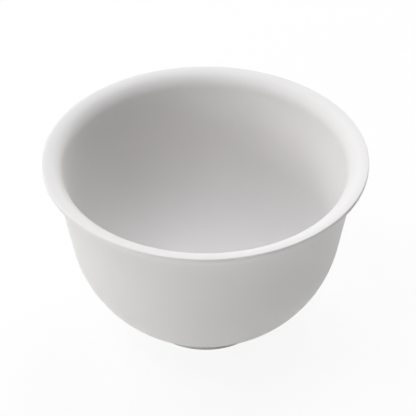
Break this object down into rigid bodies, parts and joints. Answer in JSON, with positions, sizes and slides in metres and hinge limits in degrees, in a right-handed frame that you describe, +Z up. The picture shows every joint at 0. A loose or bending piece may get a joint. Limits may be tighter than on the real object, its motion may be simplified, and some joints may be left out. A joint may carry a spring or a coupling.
{
  "type": "shaving bowl",
  "caption": "Handleless white porcelain shaving bowl with a flared lip, a leaning wall, a round belly and a low foot ring.",
  "frame": {"origin": "centre of the foot ring's standing face, on the table that the bowl rests on", "axes": "+Z up along the bowl's axis of revolution, towards its mouth; +X and +Y are any two level directions"},
  "size_m": [0.11, 0.11, 0.068],
  "materials": {
    "glazed_porcelain": "satin white glaze, bare on the foot ring's standing face"
  },
  "bodies": {
    "root": {"bowl": "glazed_porcelain"}
  },
  "joints": []
}
